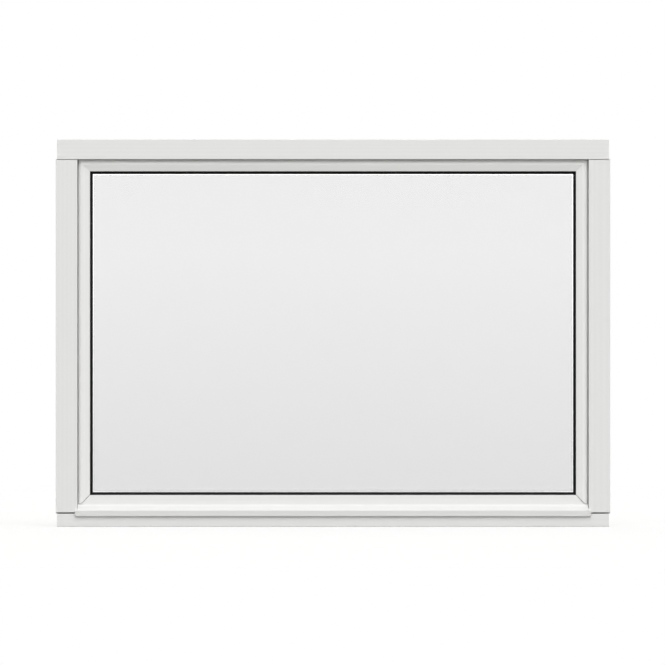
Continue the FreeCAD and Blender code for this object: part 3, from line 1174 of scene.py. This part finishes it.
@dataclass(frozen=True)
class ReflectorCard:
    """A card that stands before the window and shows only where glass or metal mirrors it.

    The panes mirror its middle, which is brighter towards the top. The spacer bars mirror its bright rim.
    """

    sight: Sight
    camera_distance_m: float
    distance_m: float = 8.0
    half_m: tuple[float, float] = (2.2, 1.6)
    levels: tuple[float, float] = (0.6, 1.13)
    # The share of the height, from the top down, that is evenly bright.
    flat_top: float = 0.25
    rim_level: float = 0.9
    rim_ramp_m: float = 0.02
    fade_m: float = 0.6

    @property
    def centre(self) -> Vector:
        """The middle of the card, as high as the middle of the glass."""
        return Vector((0.0, self.sight.front - self.distance_m, (self.sight.top + self.sight.foot) / 2))

    @property
    def mirrored_half_m(self) -> tuple[float, float]:
        """Works out what the glass inside the spacer bars mirrors, seen from the camera.

        Returns:
            Half the width and half the height of that part of the card.
        """
        spread = 1 + self.distance_m / self.camera_distance_m
        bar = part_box("outer_spacer_top")[0].z
        return (self.sight.half_width - self.sight.top + bar) * spread, (bar - self.centre.z) * spread

    def material(self) -> bpy.types.Material:
        """Draws the card's glow, which fades out to its edges.

        Returns:
            The material.
        """
        made, tree = new_material("graded_reflector_card")
        at = add_node(tree, "ShaderNodeTexCoord")
        place = add_node(tree, "ShaderNodeSeparateXYZ", {0: at.outputs["Object"]})
        mirrored_high = self.mirrored_half_m[1]
        graded = add_node(
            tree,
            "ShaderNodeMapRange",
            {
                "Value": place.outputs["Z"],
                "From Min": -mirrored_high,
                "From Max": mirrored_high * (1 - 2 * self.flat_top),
                "To Min": self.levels[0],
                "To Max": self.levels[1],
            },
        )
        fades, rims = {}, {}
        for number, axis in enumerate("XZ"):
            edge, inside = self.half_m[number], self.mirrored_half_m[number]
            out = add_node(tree, "ShaderNodeMath", {0: place.outputs[axis]}, operation="ABSOLUTE")
            for ramps, near, far, first, last in (
                (fades, edge - self.fade_m, edge, 1.0, 0.0),
                (rims, inside, inside + self.rim_ramp_m, 0.0, self.rim_level),
            ):
                ramp = add_node(
                    tree,
                    "ShaderNodeMapRange",
                    {
                        "Value": out.outputs[0],
                        "From Min": near,
                        "From Max": far,
                        "To Min": first,
                        "To Max": last,
                    },
                    interpolation_type="SMOOTHSTEP",
                )
                ramps[number] = ramp.outputs[0]
        rim = add_node(tree, "ShaderNodeMath", rims, operation="MAXIMUM")
        level = add_node(tree, "ShaderNodeMath", {0: graded.outputs[0], 1: rim.outputs[0]}, operation="ADD")
        within = add_node(tree, "ShaderNodeMath", fades, operation="MULTIPLY")
        path = add_node(tree, "ShaderNodeLightPath")
        mirrored = add_node(
            tree,
            "ShaderNodeMath",
            {0: path.outputs["Glossy Depth"], 1: FIRST_BOUNCE},
            operation="GREATER_THAN",
        )
        solid = add_node(
            tree, "ShaderNodeMath", {0: within.outputs[0], 1: mirrored.outputs[0]}, operation="MULTIPLY"
        )
        clear = add_node(tree, "ShaderNodeBsdfTransparent")
        glow = add_node(tree, "ShaderNodeEmission", {"Strength": level.outputs[0]})
        shown = add_node(
            tree, "ShaderNodeMixShader", {0: solid.outputs[0], 1: clear.outputs[0], 2: glow.outputs[0]}
        )
        add_node(tree, "ShaderNodeOutputMaterial", {"Surface": shown.outputs[0]})
        return made

    def build(self) -> None:
        """Stands the card in the studio, where it neither lights the window nor shades it."""
        wide, high = self.half_m
        corners = [(-wide, 0, -high), (wide, 0, -high), (wide, 0, high), (-wide, 0, high)]
        card = studio_sheet("reflector_card", corners, self.material())
        card.location = self.centre
        card.visible_camera = False
        card.visible_diffuse = False
        card.visible_shadow = False
        card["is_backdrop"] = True


@dataclass
class Studio:
    """A white floor and world, a soft key light, a weaker one by the camera, the card and the camera."""

    sight: Sight
    # The picture: its width, the scale at the weather face, and where the window's middle lies in it.
    image_px: int = 665
    px_size: float = 2.1426
    window_middle_px: tuple[float, float] = (333.0, 333.03)
    camera_distance_m: float = 24.0
    camera_sees_m: float = 96.0
    sensor: float = 36.0
    key: Lamp = Lamp("key_light", level=0.64, elevation_deg=48.0, azimuth_deg=8.0, angle_deg=45.0)
    front: Lamp = Lamp("front_light", level=0.27, elevation_deg=3.0, azimuth_deg=0.0, angle_deg=40.0)
    # The fill's levels before the window and behind it, and the directions along Y where each is full.
    fill_levels: tuple[float, float] = (0.3, 0.9)
    fill_full: tuple[float, float] = (-0.5, 0.5)
    fill_tone: str = "#FFFFFB"
    floor_half_m: float = 60.0
    floor_clear_m: tuple[float, float] = (2.5, 6.0)
    floor_bounce: str = "#A0A09C"
    floor_shown: str = "#989898"

    def seen(self, tree: Tree) -> bpy.types.NodeSocket:
        """Tells the camera, and what it sees in glass and metal, from the light that falls on the window.

        Args:
            tree: The tree of the floor or the world.

        Returns:
            An output that is 1 for what is looked at and 0 for light.
        """
        path = add_node(tree, "ShaderNodeLightPath")
        mirrored = add_node(
            tree,
            "ShaderNodeMath",
            {0: path.outputs["Is Glossy Ray"], 1: path.outputs["Is Transmission Ray"]},
            operation="MAXIMUM",
        )
        looked_at = add_node(
            tree,
            "ShaderNodeMath",
            {0: path.outputs["Is Camera Ray"], 1: mirrored.outputs[0]},
            operation="MAXIMUM",
        )
        straight = add_node(
            tree,
            "ShaderNodeMath",
            {0: path.outputs["Diffuse Depth"], 1: FIRST_BOUNCE},
            operation="LESS_THAN",
        )
        both = add_node(
            tree, "ShaderNodeMath", {0: looked_at.outputs[0], 1: straight.outputs[0]}, operation="MULTIPLY"
        )
        return both.outputs[0]

    def build_world(self) -> None:
        """Makes the world white to look at, and a fill to light with that is stronger behind the window."""
        world = bpy.data.worlds.new("white_cyclorama")
        world.use_nodes = True
        tree = world.node_tree
        tree.nodes.clear()
        at = add_node(tree, "ShaderNodeTexCoord")
        way = add_node(tree, "ShaderNodeSeparateXYZ", {0: at.outputs["Generated"]})
        level = add_node(
            tree,
            "ShaderNodeMapRange",
            {
                "Value": way.outputs["Y"],
                "From Min": self.fill_full[0],
                "From Max": self.fill_full[1],
                "To Min": self.fill_levels[0],
                "To Max": self.fill_levels[1],
            },
            interpolation_type="SMOOTHSTEP",
        )
        fill = add_node(
            tree, "ShaderNodeBackground", {"Color": linear(self.fill_tone), "Strength": level.outputs[0]}
        )
        white = add_node(tree, "ShaderNodeBackground", {"Color": linear("#FFFFFF"), "Strength": 1.0})
        sky = add_node(
            tree, "ShaderNodeMixShader", {0: self.seen(tree), 1: fill.outputs[0], 2: white.outputs[0]}
        )
        add_node(tree, "ShaderNodeOutputWorld", {"Surface": sky.outputs[0]})
        bpy.context.scene.world = world

    def build_floor(self) -> None:
        """Makes the pale floor: white where it is lit, grey in the window's shadow, and clear far off."""
        made, tree = new_material("pale_studio_floor")
        seen = self.seen(tree)
        tone = add_node(
            tree,
            "ShaderNodeMix",
            {0: seen, COLOUR_A: linear(self.floor_bounce), COLOUR_B: linear(self.floor_shown)},
            data_type="RGBA",
        )
        lamps = sum(lamp.towards.z * lamp.level for lamp in (self.key, self.front))
        daylight = lamps + sum(self.fill_levels) / 2
        white_level = 1.0 - daylight * linear(self.floor_shown)[0]
        glow = add_node(tree, "ShaderNodeMath", {0: seen, 1: white_level}, operation="MULTIPLY")
        at = add_node(tree, "ShaderNodeTexCoord")
        away = add_node(tree, "ShaderNodeVectorMath", {0: at.outputs["Object"]}, operation="LENGTH")
        near, far = self.floor_clear_m
        faded = add_node(
            tree, "ShaderNodeMapRange", {"Value": away.outputs["Value"], "From Min": near, "From Max": far}
        )
        gone = add_node(tree, "ShaderNodeMath", {0: seen, 1: faded.outputs[0]}, operation="MULTIPLY")
        clear = add_node(tree, "ShaderNodeBsdfTransparent")
        matt = add_node(tree, "ShaderNodeBsdfDiffuse", {"Color": tone.outputs[MIXTURE]})
        lit = add_node(tree, "ShaderNodeEmission", {"Strength": glow.outputs[0]})
        both = add_node(tree, "ShaderNodeAddShader", {0: matt.outputs[0], 1: lit.outputs[0]})
        shown = add_node(
            tree, "ShaderNodeMixShader", {0: gone.outputs[0], 1: both.outputs[0], 2: clear.outputs[0]}
        )
        add_node(tree, "ShaderNodeOutputMaterial", {"Surface": shown.outputs[0]})
        half = self.floor_half_m
        corners = [(-half, -half, 0), (half, -half, 0), (half, half, 0), (-half, half, 0)]
        floor = studio_sheet("studio_floor", corners, made)
        floor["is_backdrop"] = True

    def build_camera(self) -> None:
        """Sets the camera square on to the weather side, far off with a long lens, for a flat picture."""
        low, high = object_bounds()
        middle = self.image_px / 2
        across = (self.window_middle_px[0] - middle) * self.px_size * MM
        down = (self.window_middle_px[1] - middle) * self.px_size * MM
        data = bpy.data.cameras.new("camera")
        data.sensor_width = self.sensor
        data.lens = self.sensor * self.camera_distance_m / (self.image_px * self.px_size * MM)
        data.clip_end = self.camera_sees_m
        camera = bpy.data.objects.new("camera", data)
        camera.location = (
            (low.x + high.x) / 2 - across,
            self.sight.front - self.camera_distance_m,
            (low.z + high.z) / 2 + down,
        )
        camera.rotation_euler = (math.pi / 2, 0.0, 0.0)
        bpy.context.scene.collection.objects.link(camera)
        bpy.context.scene.camera = camera

    def build(self) -> None:
        """Sets up the whole studio."""
        bpy.context.scene.view_settings.view_transform = "Standard"
        self.build_world()
        self.build_floor()
        ReflectorCard(self.sight, self.camera_distance_m).build()
        self.key.hang()
        self.front.hang()
        self.build_camera()


def main() -> None:
    """Builds the window's sub-assemblies in order, then the studio round them."""
    logging.basicConfig(level=logging.INFO, format="%(message)s")
    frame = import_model()
    glass = GlassUnit(Sight.from_frame(GlassUnit.edge_cover))
    assemblies = (
        PaintedTimber(frame["nodes"]),
        DripBead(frame["nodes"]),
        WeatherGasket(glass.sight),
        glass,
        RoomSide(frame["nodes"]),
    )
    for assembly in assemblies:
        for piece in assembly.build():
            LOG.info("%s: %s, %d faces", type(assembly).__name__, piece.name, len(piece.data.polygons))
    Studio(glass.sight).build()


if __name__ == "__main__":
    main()
